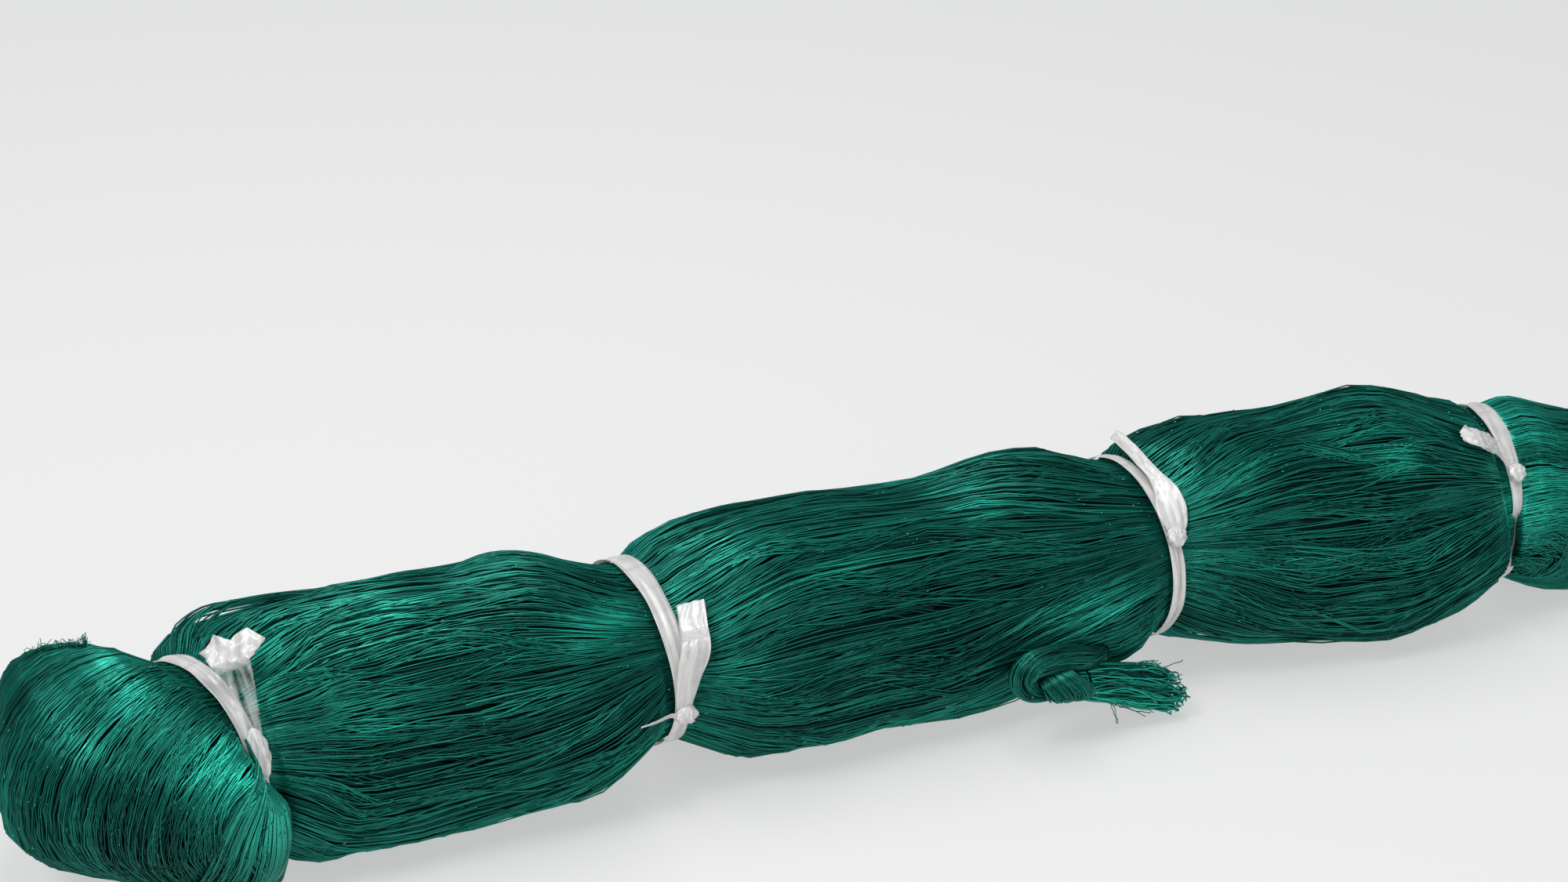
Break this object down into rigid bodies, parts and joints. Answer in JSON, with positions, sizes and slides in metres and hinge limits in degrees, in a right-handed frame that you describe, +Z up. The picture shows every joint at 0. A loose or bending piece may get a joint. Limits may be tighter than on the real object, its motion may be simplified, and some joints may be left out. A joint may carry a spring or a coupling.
{
  "type": "fishing net",
  "caption": "Fishing net gathered into a long bundle, folded back at both ends, tied at the waists with film tape, its knotted end lying in front.",
  "frame": {"origin": "on the table under the middle of the bounding box", "axes": "+X along the bundle toward its narrower end, -Y the side the knotted end lies on, +Z up"},
  "size_m": [0.7474, 0.1393, 0.1102],
  "materials": {
    "net_green": "dark green silky nylon twine",
    "tie_film": "thin milky translucent film tape"
  },
  "bodies": {
    "root": {"net_bundle": "net_green", "net_tail": "net_green", "tie_1": "tie_film", "tie_2": "tie_film", "tie_3": "tie_film", "tie_4": "tie_film"}
  },
  "joints": []
}
